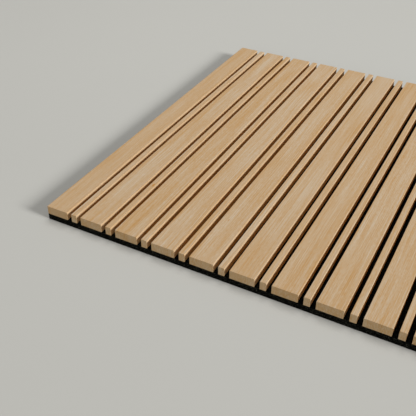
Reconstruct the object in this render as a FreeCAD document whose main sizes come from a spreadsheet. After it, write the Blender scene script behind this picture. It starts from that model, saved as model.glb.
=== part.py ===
import FreeCAD, Part
import os
import Sketcher

# Acoustic slat wall panel: a sheet of felt that carries wide and narrow wooden slats in
# turn, stapled from behind. X runs across the slats, Y along them and +Z out of their
# faces. The origin is the centre of the felt's back, the side that lies on the wall.
# The first wide slat is flush with the left edge. The bare felt at the right edge is one
# gap wide, so that the rhythm of the slats goes on across the joint with the next panel.

# Driving sizes, in millimetres apart from the two counts
SIZES = [
    ("pair_count", 11, "pairs of one wide and one narrow slat"),
    ("slat_length", 600, "length of the slats and of the felt"),
    ("wide_slat_width", 32.5, "width of a wide slat"),
    ("narrow_slat_width", 8, "width of a narrow slat"),
    ("slat_gap", 7, "bare felt to the right of every slat"),
    ("slat_thickness", 12, "height of the slats above the felt"),
    ("arris_radius", 0.3, "rounding of the two long edges of a slat's face"),
    ("felt_thickness", 9, "thickness of the felt"),
    ("staples_per_slat", 4, "staples along each slat"),
    ("staple_end_margin", 30, "from a slat's end to the middle of its first staple"),
    ("staple_crown", 12, "length of a staple over both of its legs"),
    ("staple_wire_width", 1.2, "width of the flat staple wire"),
    ("staple_wire_thickness", 0.6, "thickness of the flat staple wire"),
    ("staple_point_height", 1, "height of the chisel point of a leg"),
    ("staple_tip_cover", 4.5, "wood left between a staple's points and the slat's face"),
]

# Sizes that follow from the driving ones, as expressions
PITCH = "(sizes.wide_slat_width + sizes.narrow_slat_width + 2 * sizes.slat_gap)"
PANEL_WIDTH = "(sizes.pair_count * " + PITCH + ")"
LEG_LENGTH = "(sizes.felt_thickness + sizes.slat_thickness - sizes.staple_tip_cover)"

# A sketch counts the two ends of an edge up from one, and its own axes down from minus one
START, END = range(1, 3)
HORIZONTAL_AXIS, VERTICAL_AXIS = range(-1, -3, -1)

doc = FreeCAD.newDocument("acoustic_slat_wall_panel")
sizes = doc.addObject("Spreadsheet::Sheet", "sizes")
for row, (alias, value, note) in enumerate(SIZES, start=1):
    sizes.set("A%d" % row, alias)
    sizes.set("B%d" % row, str(value))
    sizes.set("C%d" % row, note)
    sizes.setAlias("B%d" % row, alias)
doc.recompute()


def attached_sketch(body, plane_role):
    """Starts a sketch on one of the body's own origin planes."""
    sketch = body.newObject("Sketcher::SketchObject", body.Name + "_section")
    planes = [item for item in body.Origin.OriginFeatures if item.Role == plane_role]
    sketch.AttachmentSupport = [(planes[0], "")]
    sketch.MapMode = "FlatFace"
    return sketch


def point(across, up=0.0):
    """A point of a sketch."""
    return FreeCAD.Vector(across, up, 0)


def constrain(sketch, kind, *where):
    """Adds a constraint that has no dimension."""
    sketch.addConstraint(Sketcher.Constraint(kind, *where))


def drive(sketch, name, kind, where, expression):
    """Adds a dimension and binds it to the sheet."""
    value = float(sketch.evalExpression(expression))
    index = sketch.addConstraint(Sketcher.Constraint(kind, *where, value))
    sketch.renameConstraint(index, name)
    sketch.setExpression("Constraints." + name, expression)


def add_loop(sketch, edges):
    """Adds a closed loop of edges, with a smooth join wherever an arc meets a line."""
    for edge in edges:
        sketch.addGeometry(edge, False)
    for index, edge in enumerate(edges):
        following = (index + 1) % len(edges)
        has_arc = isinstance(edge, Part.Arc) or isinstance(edges[following], Part.Arc)
        join = "Tangent" if has_arc else "Coincident"
        constrain(sketch, join, index, END, following, START)


def line_loop(corners):
    """The straight edges that join the corners of a closed outline."""
    followers = corners[1:] + corners[:1]
    return [Part.LineSegment(first, second) for first, second in zip(corners, followers)]


def pad_evenly(body, sketch, length):
    """Extrudes a sketch by half of the length to each side of its plane."""
    pad = body.newObject("PartDesign::Pad", body.Name + "_pad")
    pad.Profile = sketch
    pad.SideType = "Symmetric"
    pad.setExpression("Length", length)


def make_slat_blank(name, width_alias, left_edge):
    """A slat before stapling: a milled bar with two eased edges, cut square at its ends."""
    body = doc.addObject("PartDesign::Body", name + "_blank")
    sketch = attached_sketch(body, "XZ_Plane")
    width = sizes.get(width_alias)
    height = sizes.slat_thickness
    radius = sizes.arris_radius
    shoulder = height - radius
    bulge = radius * (1 - 0.5 ** 0.5)
    right_arris = Part.Arc(
        point(width, shoulder), point(width - bulge, height - bulge), point(width - radius, height)
    )
    left_arris = Part.Arc(
        point(radius, height), point(bulge, height - bulge), point(0, shoulder)
    )
    outline = [
        Part.LineSegment(point(0), point(width)),
        Part.LineSegment(point(width), point(width, shoulder)),
        right_arris,
        Part.LineSegment(point(width - radius, height), point(radius, height)),
        left_arris,
        Part.LineSegment(point(0, shoulder), point(0)),
    ]
    add_loop(sketch, outline)
    seat, right_side, right_arc, face, left_arc, left_side = range(len(outline))
    constrain(sketch, "Horizontal", seat)
    constrain(sketch, "Horizontal", face)
    constrain(sketch, "Vertical", right_side)
    constrain(sketch, "Vertical", left_side)
    constrain(sketch, "Coincident", seat, START, HORIZONTAL_AXIS, START)
    constrain(sketch, "Equal", right_arc, left_arc)
    drive(sketch, "width", "DistanceX", (seat, START, seat, END), "sizes." + width_alias)
    drive(sketch, "height", "DistanceY", (seat, START, face, END), "sizes.slat_thickness")
    drive(sketch, "arris", "Radius", (right_arc,), "sizes.arris_radius")
    pad_evenly(body, sketch, "sizes.slat_length")
    body.setExpression("Placement.Base.x", left_edge)
    body.setExpression("Placement.Base.z", "sizes.felt_thickness")
    return body


def make_felt_sheet():
    """The felt before stapling: a plain cut sheet that the slats end flush with."""
    body = doc.addObject("PartDesign::Body", "felt_sheet")
    sketch = attached_sketch(body, "XY_Plane")
    half_width = sizes.pair_count * sizes.wide_slat_width / 2
    half_length = sizes.slat_length / 2
    corners = [
        point(-half_width, -half_length),
        point(half_width, -half_length),
        point(half_width, half_length),
        point(-half_width, half_length),
    ]
    add_loop(sketch, line_loop(corners))
    near, right, far, left = range(len(corners))
    constrain(sketch, "Horizontal", near)
    constrain(sketch, "Horizontal", far)
    constrain(sketch, "Vertical", right)
    constrain(sketch, "Vertical", left)
    constrain(sketch, "Symmetric", near, START, far, START, HORIZONTAL_AXIS, START)
    drive(sketch, "width", "DistanceX", (near, START, near, END), PANEL_WIDTH)
    drive(sketch, "length", "DistanceY", (right, START, right, END), "sizes.slat_length")
    pad = body.newObject("PartDesign::Pad", "felt_sheet_pad")
    pad.Profile = sketch
    pad.setExpression("Length", "sizes.felt_thickness")
    return body


def make_staple():
    """One staple of flat wire, crown on the felt's back and legs up into the slat."""
    body = doc.addObject("PartDesign::Body", "staple")
    sketch = attached_sketch(body, "YZ_Plane")
    half_crown = sizes.staple_crown / 2
    wire = sizes.staple_wire_thickness
    leg = sizes.felt_thickness + sizes.slat_thickness - sizes.staple_tip_cover
    shoulder = leg - sizes.staple_point_height
    corners = [
        point(-half_crown),
        point(half_crown),
        point(half_crown, leg),
        point(half_crown - wire, shoulder),
        point(half_crown - wire, wire),
        point(wire - half_crown, wire),
        point(wire - half_crown, shoulder),
        point(-half_crown, leg),
    ]
    add_loop(sketch, line_loop(corners))
    crown, leg_outside, tip, leg_inside, crown_inside = range(5)
    for right_corner in range(crown + 1, len(corners) // 2 + 1):
        left_corner = (crown + 1 - right_corner) % len(corners)
        constrain(
            sketch, "Symmetric", left_corner, START, right_corner, START, VERTICAL_AXIS
        )
    constrain(sketch, "Vertical", leg_outside)
    constrain(sketch, "Vertical", leg_inside)
    constrain(sketch, "PointOnObject", crown, END, HORIZONTAL_AXIS)
    drive(sketch, "crown", "DistanceX", (crown, START, crown, END), "sizes.staple_crown")
    drive(sketch, "leg", "DistanceY", (crown, END, tip, START), LEG_LENGTH)
    drive(
        sketch, "leg_wire", "DistanceX", (crown_inside, START, crown, END),
        "sizes.staple_wire_thickness",
    )
    drive(
        sketch, "crown_wire", "DistanceY", (crown, END, crown_inside, START),
        "sizes.staple_wire_thickness",
    )
    drive(
        sketch, "point_height", "DistanceY", (tip, END, tip, START),
        "sizes.staple_point_height",
    )
    pad_evenly(body, sketch, "sizes.staple_wire_width")
    return body


def staple_stations():
    """The places along Y of the staples in a slat, evenly spaced between its end margins."""
    first = sizes.staple_end_margin - sizes.slat_length / 2
    spaces = int(sizes.staples_per_slat) - 1
    step = (sizes.slat_length - 2 * sizes.staple_end_margin) / spaces
    return [first + index * step for index in range(spaces + 1)]


def make_staple_row(staple, slat_name, slat_centre):
    """The staples of one slat, on its centre line and with their crowns along it."""
    copies = []
    for station in staple_stations():
        copy = staple.Shape.copy()
        copy.translate(FreeCAD.Vector(slat_centre, station, 0))
        copies.append(copy)
    row = doc.addObject("Part::Feature", "staples_of_" + slat_name)
    row.Shape = Part.makeCompound(copies)
    return row


def stapled(name, blank, staples):
    """The finished piece: its blank, pierced where the staples pass."""
    piece = doc.addObject("Part::Cut", name)
    piece.Base = blank
    piece.Tool = staples
    piece.Label = name
    return piece


blanks = {}
for number in range(1, int(sizes.pair_count) + 1):
    pair_left = "%d * %s - %s / 2" % (number - 1, PITCH, PANEL_WIDTH)
    narrow_left = pair_left + " + sizes.wide_slat_width + sizes.slat_gap"
    wide_name = "wide_slat_%02d" % number
    narrow_name = "narrow_slat_%02d" % number
    blanks[wide_name] = make_slat_blank(wide_name, "wide_slat_width", pair_left)
    blanks[narrow_name] = make_slat_blank(narrow_name, "narrow_slat_width", narrow_left)
staple = make_staple()
felt_sheet = make_felt_sheet()
doc.recompute()

rows = {}
for name, blank in blanks.items():
    rows[name] = make_staple_row(staple, name, blank.Shape.BoundBox.Center.x)
backing_staples = doc.addObject("Part::Compound", "backing_staples")
backing_staples.Links = list(rows.values())
felt_backing = stapled("felt_backing", felt_sheet, backing_staples)
slats = [stapled(name, blank, rows[name]) for name, blank in blanks.items()]
doc.recompute()

pieces = [felt_backing, backing_staples] + slats
for item in doc.Objects:
    if "Invalid" in item.State or "Error" in item.State:
        raise RuntimeError("%s failed: %s" % (item.Label, item.State))
for piece in pieces:
    if piece.Shape.isNull() or not piece.Shape.isValid():
        raise RuntimeError("%s has no valid shape" % piece.Label)

os.makedirs("parts", exist_ok=True)
for piece in pieces:
    piece.Shape.exportStep("parts/%s.step" % piece.Label)
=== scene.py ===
"""Looks of the acoustic slat wall panel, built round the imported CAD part.

Every length is in metres in the part's own frame: X runs across the slats, Y along them
and +Z out of their faces. The CAD slats, felt and staples stay as they are and get
procedural materials; loose fibres are added where the felt shows.
"""

import math
import random

import bpy
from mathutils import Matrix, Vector


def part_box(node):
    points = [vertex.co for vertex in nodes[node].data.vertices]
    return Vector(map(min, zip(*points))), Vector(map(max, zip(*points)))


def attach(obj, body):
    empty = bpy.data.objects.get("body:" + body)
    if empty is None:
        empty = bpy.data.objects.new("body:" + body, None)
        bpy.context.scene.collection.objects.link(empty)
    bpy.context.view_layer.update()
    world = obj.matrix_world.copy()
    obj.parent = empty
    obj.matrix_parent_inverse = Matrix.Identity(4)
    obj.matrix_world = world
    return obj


MM = 0.001

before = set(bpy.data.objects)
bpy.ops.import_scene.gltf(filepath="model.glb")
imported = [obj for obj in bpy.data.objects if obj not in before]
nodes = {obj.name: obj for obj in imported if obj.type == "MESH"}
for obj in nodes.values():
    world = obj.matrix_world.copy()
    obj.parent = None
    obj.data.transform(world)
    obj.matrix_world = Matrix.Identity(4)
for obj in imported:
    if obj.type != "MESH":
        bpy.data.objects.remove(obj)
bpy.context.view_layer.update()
scene = bpy.context.scene

# Colours


def linear(red, green, blue):
    """A colour given as 0-255 screen values, as the linear RGBA that shaders take.

    The numbers in it are those of the sRGB curve.
    """
    channels = []
    for value in (red, green, blue):
        share = value / 255
        channels.append(share / 12.92 if share <= 0.04045 else ((share + 0.055) / 1.055) ** 2.4)
    return (*channels, 1.0)


FLOOR_COLOUR = linear(190.5, 189.5, 183.5)
TAN_WOOD = linear(183.9, 142.5, 89)
BEIGE_WOOD = linear(197.3, 178.7, 153.7)
KNOT_WOOD = linear(180, 127, 58)
FELT_DARK = linear(2, 2, 1.5)
FELT_PALE = linear(96, 96, 84)
FIBRE_DARK = linear(6, 6, 5)
FIBRE_PALE = linear(100, 99, 88)
STEEL_DARK = linear(150, 152, 155)
STEEL_PALE = linear(186, 187, 188)
WHITE = (1.0, 1.0, 1.0, 1.0)

# Node helpers

# Blender's noise swings to both sides of this value
NOISE_MIDDLE = 0.5


class Tree:
    """A new material's node tree, with short calls for the nodes that this script uses."""

    def __init__(self, name):
        self.material = bpy.data.materials.new(name)
        self.material.use_nodes = True
        self.nodes = self.material.node_tree.nodes
        self.links = self.material.node_tree.links
        self.shader = self.nodes["Principled BSDF"]
        self.place = self.nodes.new("ShaderNodeTexCoord").outputs["Object"]

    def put(self, value, socket):
        """Links an output to a socket, or sets the socket's own value."""
        if isinstance(value, bpy.types.NodeSocket):
            self.links.new(value, socket)
        else:
            socket.default_value = value

    def set(self, socket, value):
        """Links or sets one of the shader's inputs."""
        self.put(value, self.shader.inputs[socket])

    def math(self, operation, first, second=0.0, third=0.0, clamp=False):
        node = self.nodes.new("ShaderNodeMath")
        node.operation = operation
        node.use_clamp = clamp
        for value, socket in zip((first, second, third), node.inputs):
            self.put(value, socket)
        return node.outputs[0]

    def towards(self, value, target, share):
        """The value, moved by a share of its way to the target."""
        return self.math("MULTIPLY_ADD", self.math("SUBTRACT", target, value), share, value)

    def oval(self, x, y, centre, halves):
        """The square of the distance from an oval's centre, which is 1 on its outline."""
        aside = self.math("DIVIDE", self.math("SUBTRACT", x, centre[0]), halves[0])
        along = self.math("DIVIDE", self.math("SUBTRACT", y, centre[1]), halves[1])
        return self.math("MULTIPLY_ADD", aside, aside, self.math("MULTIPLY", along, along))

    def split(self, vector):
        node = self.nodes.new("ShaderNodeSeparateXYZ")
        self.put(vector, node.inputs[0])
        return node.outputs

    def join(self, x, y, z):
        node = self.nodes.new("ShaderNodeCombineXYZ")
        for value, socket in zip((x, y, z), node.inputs):
            self.put(value, socket)
        return node.outputs[0]

    def facing(self):
        """The direction that the surface faces, as X, Y and Z."""
        return self.split(self.nodes.new("ShaderNodeNewGeometry").outputs["Normal"])

    def scaled(self, vector, lengths, offset=(0.0, 0.0, 0.0)):
        """The vector counted in the given lengths, so that noise of scale 1 has that grain."""
        node = self.nodes.new("ShaderNodeMapping")
        self.put(vector, node.inputs["Vector"])
        node.inputs["Scale"].default_value = [1 / length for length in lengths]
        node.inputs["Location"].default_value = offset
        return node.outputs[0]

    def noise(self, vector, detail=2.0, roughness=0.5, distortion=0.0):
        node = self.nodes.new("ShaderNodeTexNoise")
        self.put(vector, node.inputs["Vector"])
        node.inputs["Scale"].default_value = 1.0
        node.inputs["Detail"].default_value = detail
        node.inputs["Roughness"].default_value = roughness
        node.inputs["Distortion"].default_value = distortion
        return node.outputs["Fac"]

    def ranged(self, value, limits, new_low=0.0, new_high=1.0, smooth=True):
        """Carries the value from one range over to another, and holds it at their ends."""
        node = self.nodes.new("ShaderNodeMapRange")
        node.interpolation_type = "SMOOTHSTEP" if smooth else "LINEAR"
        self.put(value, node.inputs["Value"])
        node.inputs["From Min"].default_value = limits[0]
        node.inputs["From Max"].default_value = limits[1]
        node.inputs["To Min"].default_value = new_low
        node.inputs["To Max"].default_value = new_high
        return node.outputs["Result"]

    def mix(self, share, first, second, blend="MIX"):
        node = self.nodes.new("ShaderNodeMix")
        node.data_type = "RGBA"
        node.blend_type = blend
        self.put(share, node.inputs["Factor"])
        self.put(first, node.inputs["A"])
        self.put(second, node.inputs["B"])
        return node.outputs["Result"]

    def times(self, colour, factors):
        """The colour with each channel multiplied by its factor."""
        return self.mix(1.0, colour, factors, "MULTIPLY")

    def shaded(self, colour, shade):
        """The colour with all its channels multiplied by the same shade."""
        return self.times(colour, self.join(shade, shade, shade))

    def bump(self, height, distance, strength):
        node = self.nodes.new("ShaderNodeBump")
        self.put(height, node.inputs["Height"])
        node.inputs["Distance"].default_value = distance
        node.inputs["Strength"].default_value = strength
        return node.outputs[0]


def set_material(item, material):
    """Puts the material in every slot of the object."""
    if not item.material_slots:
        item.data.materials.append(material)
    for slot in item.material_slots:
        slot.material = material


# Wood

# The grain's lines bend aside along the slat, in a long drift and in a short ripple. Both
# have lengths across, along and through a slat, and then how far they push the lines.
DRIFT_LENGTHS = (70 * MM, 200 * MM, 70 * MM)
DRIFT = 4 * MM
RIPPLE_LENGTHS = (12 * MM, 34 * MM, 30 * MM)
RIPPLE = 0.35 * MM

# Four layers of grain: lengths across, along and through a slat, detail and roughness of
# the noise, and how far it moves the tone, as a share of the way from tan to beige
FIGURE = ((9 * MM, 240 * MM, 20 * MM), 2.0, 0.3, 0.66)
STREAK = ((0.8 * MM, 80 * MM, 6 * MM), 2.0, 0.7, 1.0)
FLECK = ((0.7 * MM, 7 * MM, 2 * MM), 1.0, 0.5, 0.95)
FIBRE_GRAIN = ((0.45 * MM, 60 * MM, 2 * MM), 1.0, 0.5, 1.5)

# Single dark and pale lines are the two far ends of one more noise
LINE_LENGTHS = (0.75 * MM, 130 * MM, 8 * MM)
DARK_LINE_RANGE = (0.58, 0.72)
DARK_LINE_DEPTH = 0.50
PALE_LINE_RANGE = (0.28, 0.42)
PALE_LINE_DEPTH = 0.40

# Patches and knots are ovals that fade out between two squares of the distance
PATCH_FADE = (0.2, 1.8)
PATCH_DEPTH = 0.67
KNOT_FADE = (0.1, 1.5)
KNOT_HALVES = (0.9 * MM, 2.2 * MM)

# Fine pores, darker and duller than the wood between them
PORE_LENGTHS = (0.22 * MM, 6 * MM, 0.6 * MM)
PORE_RANGE = (0.58, 0.72)
PORE_SHADE = 0.87
PORE_DEPTH = 0.1 * MM
PORE_BUMP = 0.3
PORE_ROUGHNESS = 0.90
WOOD_ROUGHNESS = 0.80
WOOD_SPECULAR = 0.15

# Where a face starts to count as a side or as an end, and where it fully does, by the
# share of its direction that points that way
SIDE_FACING = (0.8, 0.97)
END_FACING = (0.6, 0.8)

# On the sides in a groove and on the ends the tone keeps nearer to one value
GROOVE_TONE = 0.52
GROOVE_CALM = 0.84
END_CALM = 0.1

# Painted light: what the ends and the sides in a groove multiply the colour by, and the heights
# between which the sides' tints blend. The ends get a slight warm tint of painted bounce light; a
# side gets a painted highlight at the arris, where the key lamp lights it, painted warm bounce
# light in its shade below that, and lighter painted bounce light near the felt
PAINTED_END_BOUNCE = (1.0, 0.985, 0.92, 1.0)
PAINTED_HIGHLIGHT = (1.15, 1.14, 1.105, 1.0)
PAINTED_HIGHLIGHT_HEIGHTS = (18.0 * MM, 19.4 * MM)
PAINTED_BOUNCE = (1.21, 0.86, 0.38, 1.0)
PAINTED_BOUNCE_HEIGHTS = (15.5 * MM, 18.6 * MM)
PAINTED_DEEP_BOUNCE = (1.44, 1.16, 0.60, 1.0)
PAINTED_DEEP_BOUNCE_HEIGHTS = (12.5 * MM, 15.5 * MM)

# Near the slats' ends, where the grooves open, only a share of the painted warm bounce light is
# left
SLAT_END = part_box("wide_slat_01")[1].y
MOUTH_LENGTH = 20 * MM
MOUTH_BOUNCE_SHARE = 0.35

# Each slat has its own random shifts of the noise, of up to this many of its lengths, and
# their seeds count up from a number for each kind of slat
LARGEST_SHIFT = 90
WIDE_SEEDS = 0
NARROW_SEEDS = 100


def grain_tone(tree, grain, offset, other, look, left, width):
    """How beige the wood is at each place, as a share of the way from tan to beige."""
    tone, contrast, patches, _ = look
    share = tone
    layers = ((FIGURE, offset), (STREAK, other), (FLECK, offset), (FIBRE_GRAIN, offset))
    for (lengths, detail, roughness, depth), shift in layers:
        wave = tree.noise(tree.scaled(grain, lengths, shift), detail, roughness)
        swing = tree.math("SUBTRACT", wave, NOISE_MIDDLE)
        share = tree.math("MULTIPLY_ADD", swing, depth * contrast, share)
    across, along, _ = tree.split(grain)
    mean_push = NOISE_MIDDLE * (DRIFT + RIPPLE)
    for place, station, half_width, half_length, strength in patches:
        centre = (left + place * width + mean_push, station * MM)
        squares = tree.oval(across, along, centre, (half_width * width, half_length * MM))
        inside = tree.ranged(squares, PATCH_FADE, strength * PATCH_DEPTH, 0.0)
        share = tree.math("ADD", inside, share)
    line = tree.noise(tree.scaled(grain, LINE_LENGTHS, offset), detail=1.0)
    dark_line = tree.ranged(line, DARK_LINE_RANGE)
    share = tree.math("MULTIPLY_ADD", dark_line, -DARK_LINE_DEPTH * contrast, share)
    pale_line = tree.ranged(line, PALE_LINE_RANGE, 1.0, 0.0)
    return tree.math("MULTIPLY_ADD", pale_line, PALE_LINE_DEPTH * contrast, share)


def wood_material(name, left, width, groove_sides, seed, look):
    """Smooth light wood. Its tone wanders between tan and beige along the grain.

    groove_sides says for the left and the right side whether it stands in a groove, as 1
    or 0; such a side gets a painted highlight and painted bounce light. look is the slat's row of
    WIDE_LOOKS or NARROW_LOOKS.
    """
    tone, _, _, knots = look
    tree = Tree(name)
    draw = random.Random(seed)
    offset = [draw.uniform(0, LARGEST_SHIFT) for _ in range(3)]
    other = [draw.uniform(0, LARGEST_SHIFT) for _ in range(3)]
    x, y, z = tree.split(tree.place)

    drift = tree.noise(tree.scaled(tree.place, DRIFT_LENGTHS, offset), detail=0.0)
    ripple = tree.noise(tree.scaled(tree.place, RIPPLE_LENGTHS, other), detail=1.0)
    across = tree.math("MULTIPLY_ADD", drift, DRIFT, x)
    across = tree.math("MULTIPLY_ADD", ripple, RIPPLE, across)
    grain = tree.join(across, y, z)

    facing = tree.facing()
    left_side, right_side = groove_sides
    side_start, side_full = SIDE_FACING
    leftward = tree.ranged(facing["X"], (-side_full, -side_start), left_side, 0.0)
    rightward = tree.ranged(facing["X"], SIDE_FACING, 0.0, right_side)
    groove = tree.math("ADD", leftward, rightward)
    end = tree.ranged(tree.math("ABSOLUTE", facing["Y"]), END_FACING)

    share = grain_tone(tree, grain, offset, other, look, left, width)
    share = tree.towards(share, GROOVE_TONE, tree.math("MULTIPLY", groove, GROOVE_CALM))
    share = tree.towards(share, tone, tree.math("MULTIPLY", end, END_CALM))
    colour = tree.mix(tree.math("ADD", share, 0.0, clamp=True), TAN_WOOD, BEIGE_WOOD)

    pore = tree.noise(tree.scaled(grain, PORE_LENGTHS, other), detail=1.0)
    pore = tree.ranged(pore, PORE_RANGE, 1.0, PORE_SHADE)
    colour = tree.shaded(colour, pore)
    for knot_x, knot_y, size, strength in knots:
        halves = [size * half for half in KNOT_HALVES]
        squares = tree.oval(x, y, (knot_x * MM, knot_y * MM), halves)
        colour = tree.mix(tree.ranged(squares, KNOT_FADE, strength, 0.0), colour, KNOT_WOOD)

    # painted light on the ends and the sides in a groove: a slight warm bounce tint on the ends,
    # a painted highlight at the arris, and painted warm bounce light in the shade below it
    # painted bounce light: the ends get a slight warm tint
    colour = tree.mix(end, colour, tree.times(colour, PAINTED_END_BOUNCE))
    # painted highlight: a groove's side is paler near the arris, where the key lamp lights it
    highlight_band = tree.ranged(z, PAINTED_HIGHLIGHT_HEIGHTS)
    paler = tree.times(colour, PAINTED_HIGHLIGHT)
    colour = tree.mix(tree.math("MULTIPLY", groove, highlight_band), colour, paler)
    # painted bounce light: a groove's side is warmer in its shade below the lit strip, and
    # lighter near the felt
    below = tree.ranged(z, PAINTED_BOUNCE_HEIGHTS, 1.0, 0.0, smooth=False)
    deep_bounce_band = tree.ranged(z, PAINTED_DEEP_BOUNCE_HEIGHTS, 1.0, 0.0)
    painted_bounce_colour = tree.times(colour, tree.mix(deep_bounce_band, PAINTED_BOUNCE, PAINTED_DEEP_BOUNCE))
    # near the slats' ends only a share of the painted bounce light is kept
    from_middle = tree.math("ABSOLUTE", y)
    bounce_kept = tree.ranged(from_middle, (SLAT_END - MOUTH_LENGTH, SLAT_END), 1.0, MOUTH_BOUNCE_SHARE)
    warm = tree.math("MULTIPLY", bounce_kept, below)
    colour = tree.mix(tree.math("MULTIPLY", groove, warm), colour, painted_bounce_colour)

    roughness = tree.ranged(pore, (PORE_SHADE, 1.0), PORE_ROUGHNESS, WOOD_ROUGHNESS, smooth=False)
    tree.set("Base Color", colour)
    tree.set("Roughness", roughness)
    tree.set("Specular IOR Level", WOOD_SPECULAR)
    tree.set("Normal", tree.bump(pore, PORE_DEPTH, PORE_BUMP))
    return tree.material


# What tells the slats apart, one row for each: how beige it is; how strong its grain is; its
# patches, beige or, with a strength below zero, tan, as (place in shares of its width,
# station in mm, half width in shares, half length in mm, strength); and its pin knots, as
# (x and y in mm, size, strength)
WIDE_LOOKS = [
    (0.38, 0.65, [
        (0.60, 245, 0.22, 90, 0.10), (0.45, -10, 0.30, 110, 0.12),
        (0.20, -170, 0.25, 50, -0.12), (0.70, -240, 0.30, 60, 0.10),
    ], []),
    (0.37, 0.90, [
        (0.68, 30, 0.34, 500, 0.18), (0.55, 125, 0.28, 120, 0.20),
        (0.45, -140, 0.25, 110, 0.30), (0.50, 280, 0.45, 70, 0.12),
    ], []),
    (0.43, 1.15, [
        (0.72, 130, 0.18, 75, 0.25), (0.88, 50, 0.14, 45, 0.20),
        (0.45, 40, 0.25, 90, -0.07), (0.50, -240, 0.40, 60, -0.06),
    ], []),
    (0.49, 1.00, [
        (0.30, 120, 0.24, 80, 0.12), (0.50, -40, 0.35, 130, 0.06),
        (0.55, 230, 0.07, 110, -0.12), (0.50, 262, 0.45, 45, 0.27),
        (0.50, -180, 0.45, 40, -0.16), (0.60, -260, 0.22, 50, -0.10),
    ], []),
    (0.41, 1.10, [
        (0.35, 55, 0.28, 95, 0.24), (0.60, 240, 0.22, 70, 0.18),
        (0.40, -200, 0.30, 100, 0.10), (0.50, -100, 0.40, 40, 0.12),
        (0.90, -40, 0.16, 200, -0.10),
    ], [(-72.0, -213, 1.2, 0.55), (-59.0, -102, 1.0, 0.5)]),
    (0.51, 0.80, [
        (0.50, 240, 0.40, 90, 0.20), (0.75, 60, 0.30, 80, -0.13),
        (0.45, -130, 0.35, 100, 0.13), (0.50, -265, 0.45, 45, -0.20),
    ], []),
    (0.41, 1.00, [(0.30, -120, 0.25, 160, 0.14), (0.50, 200, 0.45, 60, 0.12)], []),
    (0.48, 1.15, [(0.40, -40, 0.35, 170, 0.18)], []),
    (0.43, 1.00, [], []),
    (0.42, 1.00, [(0.40, -60, 0.30, 150, 0.20)], []),
    (0.43, 1.00, [(0.30, 120, 0.30, 120, 0.20)], []),
]
NARROW_LOOKS = [
    (0.53, 1.0, [], []),
    (0.41, 1.0, [], [(-200.75, -191, 1.8, 1.0), (-200.75, 153, 1.6, 0.9)]),
    (0.49, 1.0, [], []),
    (0.39, 1.0, [(0.50, 60, 0.60, 80, 0.10)], []),
    (0.55, 1.0, [], []),
    (0.51, 1.0, [], []),
    (0.49, 1.0, [], []),
    (0.48, 1.0, [], []),
    (0.52, 1.0, [], []),
    (0.45, 1.0, [], []),
    (0.49, 1.0, [], []),
]


def finish_slats(kind, looks, seeds):
    """Gives each slat of a kind its own wood. The panel's outer sides are in no groove."""
    for number, look in enumerate(looks, start=1):
        name = "%s_%02d" % (kind, number)
        low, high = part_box(name)
        groove_sides = (float(name != "wide_slat_01"), float(name != "narrow_slat_11"))
        material = wood_material(
            "wood_of_" + name, low.x, high.x - low.x, groove_sides, seeds + number, look
        )
        set_material(nodes[name], material)


finish_slats("wide_slat", WIDE_LOOKS, WIDE_SEEDS)
finish_slats("narrow_slat", NARROW_LOOKS, NARROW_SEEDS)

# Felt and staples

# Hairs are the lines along which a noise passes its middle, in three sizes of winding
FELT_HAIR_SIZES = (2.0 * MM, 1.3 * MM, 0.9 * MM)
FELT_HAIR_OFFSETS = ((7, 3, 5), (2, 8, 4), (6, 1, 9))
FELT_HAIR_DISTORTION = 1.0
FELT_HAIR_RANGE = (0.0, 0.035)
# They are pale in clumps only, and between the hairs a clump keeps a little of its shade
FELT_CLUMP_SIZE = 1.2 * MM
FELT_CLUMP_ROUGHNESS = 0.6
FELT_CLUMP_DISTORTION = 0.6
FELT_CLUMP_RANGE = (0.56, 0.67)
FELT_GROUND_SHARE = 0.1
# The pressed upper and lower faces show less of the pale hairs than the cut edges do
FELT_LEVEL_FACING = (0.5, 0.9)
FELT_LEVEL_SHARE = 0.3
FELT_ROUGHNESS = 0.95
FELT_SPECULAR = 0.03
FELT_HAIR_HEIGHT = 0.2 * MM
FELT_BUMP = 0.8

STEEL_LINE_LENGTHS = (0.08 * MM, 3 * MM, 0.08 * MM)
STEEL_LINE_HEIGHT = 0.02 * MM
STEEL_BUMP = 0.4
STEEL_PATCH_SIZE = 1.5 * MM
STEEL_PATCH_RANGE = (0.3, 0.7)
STEEL_ROUGHNESSES = (0.32, 0.48)


def felt_material(name):
    """Black needle-punched felt: short tangled hairs, some of them paler."""
    tree = Tree(name)
    hairs = 0.0
    for size, offset in zip(FELT_HAIR_SIZES, FELT_HAIR_OFFSETS):
        place = tree.scaled(tree.place, (size,) * 3, offset)
        wave = tree.noise(place, detail=1.0, distortion=FELT_HAIR_DISTORTION)
        aside = tree.math("ABSOLUTE", tree.math("SUBTRACT", wave, NOISE_MIDDLE))
        hairs = tree.math("MAXIMUM", hairs, tree.ranged(aside, FELT_HAIR_RANGE, 1.0, 0.0))
    place = tree.scaled(tree.place, (FELT_CLUMP_SIZE,) * 3)
    clump = tree.noise(place, 1.0, FELT_CLUMP_ROUGHNESS, FELT_CLUMP_DISTORTION)
    clump = tree.ranged(clump, FELT_CLUMP_RANGE)
    shade = tree.math("MULTIPLY_ADD", hairs, 1 - FELT_GROUND_SHARE, FELT_GROUND_SHARE)
    shade = tree.math("MULTIPLY", shade, clump)
    level = tree.math("ABSOLUTE", tree.facing()["Z"])
    pressed = tree.ranged(level, FELT_LEVEL_FACING, 1.0, FELT_LEVEL_SHARE)
    shade = tree.math("MULTIPLY", shade, pressed)
    tree.set("Base Color", tree.mix(shade, FELT_DARK, FELT_PALE))
    tree.set("Roughness", FELT_ROUGHNESS)
    tree.set("Specular IOR Level", FELT_SPECULAR)
    tree.set("Normal", tree.bump(hairs, FELT_HAIR_HEIGHT, FELT_BUMP))
    return tree.material


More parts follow.
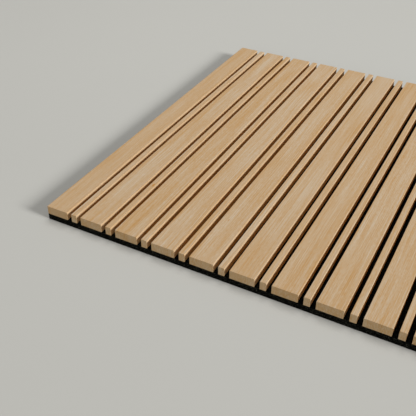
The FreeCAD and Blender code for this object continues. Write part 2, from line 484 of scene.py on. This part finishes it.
def steel_material(name):
    """Galvanised staple wire: steel with drawn lines, in places paler and duller."""
    tree = Tree(name)
    lines = tree.noise(tree.scaled(tree.place, STEEL_LINE_LENGTHS))
    patch = tree.noise(tree.scaled(tree.place, (STEEL_PATCH_SIZE,) * 3))
    tree.set("Base Color", tree.mix(patch, STEEL_DARK, STEEL_PALE))
    tree.set("Metallic", 1.0)
    tree.set("Roughness", tree.ranged(patch, STEEL_PATCH_RANGE, *STEEL_ROUGHNESSES))
    tree.set("Normal", tree.bump(lines, STEEL_LINE_HEIGHT, STEEL_BUMP))
    return tree.material


# Loose fibres stand off the felt wherever it shows: in the grooves and round its edge.
# Each rises off it at its middle, has its ends sunk in it, and strays to the side by up to
# a share of its length.
FIBRE_SEED = 5
FIBRE_SIDES = 3
FIBRE_RADIUS = 0.05 * MM
FIBRE_LENGTHS = (0.8 * MM, 2.2 * MM)
FIBRE_RISES = (0.05 * MM, 0.30 * MM)
FIBRE_SINK = 0.08 * MM
FIBRE_BEND = 0.12
GROOVE_FIBRES_PER_METRE = 260
EDGE_FIBRES_PER_METRE = 1000
# They stop this far from the sides of a groove and from the rims of the felt's edge
GROOVE_MARGIN = 0.5 * MM
EDGE_MARGIN = 0.7 * MM
FIBRE_SHADE_SIZE = 1.2 * MM
FIBRE_SHADE_RANGE = (0.52, 0.70)
FIBRE_ROUGHNESS = 0.75
FIBRE_SPECULAR = 0.2


def fibre_material(name):
    """The felt's loose fibres: black, and grey here and there along their length."""
    tree = Tree(name)
    shade = tree.noise(tree.scaled(tree.place, (FIBRE_SHADE_SIZE,) * 3), detail=1.0)
    shade = tree.ranged(shade, FIBRE_SHADE_RANGE)
    tree.set("Base Color", tree.mix(shade, FIBRE_DARK, FIBRE_PALE))
    tree.set("Roughness", FIBRE_ROUGHNESS)
    tree.set("Specular IOR Level", FIBRE_SPECULAR)
    return tree.material


def fibre_loop(draw, start, along, outward, length, rise):
    """The rings of a fibre that leaves the felt, bows outward and goes in again."""
    sideways = along.cross(outward)
    rings = []
    for travel, height in ((0.0, -FIBRE_SINK), (0.5, rise), (1.0, -FIBRE_SINK)):
        bend = sideways * draw.uniform(-FIBRE_BEND, FIBRE_BEND) * length
        centre = start + along * (travel - 0.5) * length + outward * height + bend
        ring = []
        for side in range(FIBRE_SIDES):
            angle = 2 * math.pi * side / FIBRE_SIDES
            across = sideways * math.cos(angle) + outward * math.sin(angle)
            ring.append(centre + across * FIBRE_RADIUS)
        rings.append(ring)
    return rings


def add_fibre(vertices, faces, rings):
    """Joins the rings into a closed tube."""
    first = len(vertices)
    for ring in rings:
        vertices.extend(ring)
    for level in range(len(rings) - 1):
        for side in range(FIBRE_SIDES):
            here = first + level * FIBRE_SIDES + side
            beside = first + level * FIBRE_SIDES + (side + 1) % FIBRE_SIDES
            faces.append((here, beside, beside + FIBRE_SIDES, here + FIBRE_SIDES))
    last = first + (len(rings) - 1) * FIBRE_SIDES
    faces.append(tuple(first + side for side in reversed(range(FIBRE_SIDES))))
    faces.append(tuple(last + side for side in range(FIBRE_SIDES)))


def scatter_fibres(draw, corner, run, reach, outward, margin, per_metre, vertices, faces):
    """Strews fibres over the rectangle that two edge vectors span from its corner."""
    run_way = run.normalized()
    reach_way = reach.normalized()
    for _ in range(int(run.length * per_metre)):
        length = draw.uniform(*FIBRE_LENGTHS)
        turn = draw.uniform(0, 2 * math.pi)
        along = run_way * math.cos(turn) + reach_way * math.sin(turn)
        room = margin + 0.5 * length * abs(math.sin(turn))
        end_room = margin + 0.5 * length * abs(math.cos(turn))
        place = corner + run_way * draw.uniform(end_room, run.length - end_room)
        place = place + reach_way * draw.uniform(room, reach.length - room)
        rings = fibre_loop(draw, place, along, outward, length, draw.uniform(*FIBRE_RISES))
        add_fibre(vertices, faces, rings)


def felt_fibres():
    """All the loose fibres of the felt, as one piece."""
    draw = random.Random(FIBRE_SEED)
    vertices = []
    faces = []
    low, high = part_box("felt_backing")
    length = Vector((0, high.y - low.y, 0))
    width = Vector((high.x - low.x, 0, 0))
    height = Vector((0, 0, high.z - low.z))
    slats = sorted(
        (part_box(name) for name in nodes if "slat" in name), key=lambda box: box[0].x
    )
    lefts = [box[1].x for box in slats]
    rights = [box[0].x for box in slats[1:]] + [high.x]
    for left, right in zip(lefts, rights):
        groove = Vector((right - left, 0, 0))
        corner = Vector((left, low.y, high.z))
        scatter_fibres(draw, corner, length, groove, Vector((0, 0, 1)), GROOVE_MARGIN,
                       GROOVE_FIBRES_PER_METRE, vertices, faces)
    edges = [
        (Vector(low), width, Vector((0, -1, 0))),
        (Vector((low.x, high.y, low.z)), width, Vector((0, 1, 0))),
        (Vector(low), length, Vector((-1, 0, 0))),
        (Vector((high.x, low.y, low.z)), length, Vector((1, 0, 0))),
    ]
    for corner, run, outward in edges:
        scatter_fibres(draw, corner, run, height, outward, EDGE_MARGIN,
                       EDGE_FIBRES_PER_METRE, vertices, faces)
    mesh = bpy.data.meshes.new("felt_fibres")
    mesh.from_pydata(vertices, [], faces)
    mesh.update()
    item = bpy.data.objects.new("felt_fibres", mesh)
    scene.collection.objects.link(item)
    mesh.materials.append(fibre_material("felt_fibre"))
    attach(item, "root")


felt_fibres()
set_material(nodes["felt_backing"], felt_material("black_felt"))
set_material(nodes["backing_staples"], steel_material("galvanised_wire"))

# Floor

FLOOR_HALF = 3.2
FLOOR_DROP = 0.2 * MM
# It melts into the backdrop between these distances from its middle
FLOOR_FADE = (1.3, 3.1)
FLOOR_MOTTLE_SIZE = 0.6
FLOOR_MOTTLE_RANGE = (0.3, 0.7)
FLOOR_MOTTLE_SHADES = (0.995, 1.005)


def floor_material():
    """Matt studio floor in warm pale grey that melts into the backdrop all round."""
    tree = Tree("studio_floor")
    mottle = tree.noise(tree.scaled(tree.place, (FLOOR_MOTTLE_SIZE,) * 3))
    shade = tree.ranged(mottle, FLOOR_MOTTLE_RANGE, *FLOOR_MOTTLE_SHADES, smooth=False)
    tree.set("Base Color", tree.shaded(FLOOR_COLOUR, shade))
    tree.set("Roughness", 1.0)
    tree.set("Specular IOR Level", 0.0)
    x, y, _ = tree.split(tree.place)
    squares = tree.math("MULTIPLY_ADD", x, x, tree.math("MULTIPLY", y, y))
    radius = tree.math("SQRT", squares)
    tree.set("Alpha", tree.ranged(radius, FLOOR_FADE, 1.0, 0.0))
    return tree.material


floor_mesh = bpy.data.meshes.new("studio_floor")
floor_mesh.from_pydata(
    [(-FLOOR_HALF, -FLOOR_HALF, -FLOOR_DROP), (FLOOR_HALF, -FLOOR_HALF, -FLOOR_DROP),
     (FLOOR_HALF, FLOOR_HALF, -FLOOR_DROP), (-FLOOR_HALF, FLOOR_HALF, -FLOOR_DROP)],
    [], [(0, 1, 2, 3)],
)
floor = bpy.data.objects.new("studio_floor", floor_mesh)
scene.collection.objects.link(floor)
set_material(floor, floor_material())

# Lamps

# Each lamp's direction from the panel, distance, shape, sizes, and power in watts
KEY_LAMP = ((0.8947, -0.0453, 0.4110), 17.65, "DISK", (4.8,), 3380)
OVERHEAD_SOFTBOX = ((-0.16, 0.31, 1.0), 2.54, "RECTANGLE", (1.45, 1.21), 22)
FRONT_FILL = ((0.1, -1.0, 0.35), 8.0, "RECTANGLE", (5.0, 2.5), 90)
WORLD_LEVEL = 0.23


def area_lamp(name, towards, distance, shape, sizes, power):
    """A soft lamp that looks at the panel's middle from the given direction."""
    data = bpy.data.lights.new(name, "AREA")
    data.shape = shape
    data.size = sizes[0]
    if shape == "RECTANGLE":
        data.size_y = sizes[1]
    data.energy = power
    lamp = bpy.data.objects.new(name, data)
    direction = Vector(towards).normalized()
    lamp.location = direction * distance
    lamp.rotation_euler = direction.to_track_quat("Z", "Y").to_euler()
    lamp.visible_camera = False
    scene.collection.objects.link(lamp)


area_lamp("key_lamp", *KEY_LAMP)
area_lamp("overhead_softbox", *OVERHEAD_SOFTBOX)
area_lamp("front_fill", *FRONT_FILL)

# World: even white light on the panel, and the floor's colour wherever a ray sees it

world = bpy.data.worlds.new("studio_world")
scene.world = world
world.use_nodes = True
world_nodes = world.node_tree.nodes
world_links = world.node_tree.links
ambient = world_nodes["Background"]
ambient.inputs["Color"].default_value = WHITE
ambient.inputs["Strength"].default_value = WORLD_LEVEL
backdrop = world_nodes.new("ShaderNodeBackground")
backdrop.inputs["Color"].default_value = FLOOR_COLOUR
rays = world_nodes.new("ShaderNodeLightPath")
seen = world_nodes.new("ShaderNodeMath")
seen.operation = "MAXIMUM"
world_links.new(rays.outputs["Is Camera Ray"], seen.inputs[0])
world_links.new(rays.outputs["Is Glossy Ray"], seen.inputs[1])
seen_at_all = world_nodes.new("ShaderNodeMath")
seen_at_all.operation = "MAXIMUM"
world_links.new(seen.outputs[0], seen_at_all.inputs[0])
world_links.new(rays.outputs["Is Transmission Ray"], seen_at_all.inputs[1])
chooser = world_nodes.new("ShaderNodeMixShader")
world_links.new(seen_at_all.outputs[0], chooser.inputs["Fac"])
world_links.new(ambient.outputs[0], chooser.inputs[1])
world_links.new(backdrop.outputs[0], chooser.inputs[2])
world_links.new(chooser.outputs[0], world_nodes["World Output"].inputs["Surface"])

# Camera: its place, how far it looks below the horizon and how far it turns left of +Y,
# both in degrees

CAMERA_PLACE = (0.22505, -0.82500, 0.54497)
CAMERA_FALL = 36.575
CAMERA_TURN = 28.158
CAMERA_LENS = 57.11
CAMERA_SENSOR = 36.0
CAMERA_CLIPS = (0.01, 60.0)

camera_data = bpy.data.cameras.new("photo_camera")
camera_data.lens = CAMERA_LENS
camera_data.sensor_width = CAMERA_SENSOR
camera_data.clip_start, camera_data.clip_end = CAMERA_CLIPS
camera = bpy.data.objects.new("photo_camera", camera_data)
camera.location = CAMERA_PLACE
camera.rotation_euler = (math.radians(90 - CAMERA_FALL), 0, math.radians(CAMERA_TURN))
scene.collection.objects.link(camera)
scene.camera = camera
scene.view_settings.view_transform = "Standard"
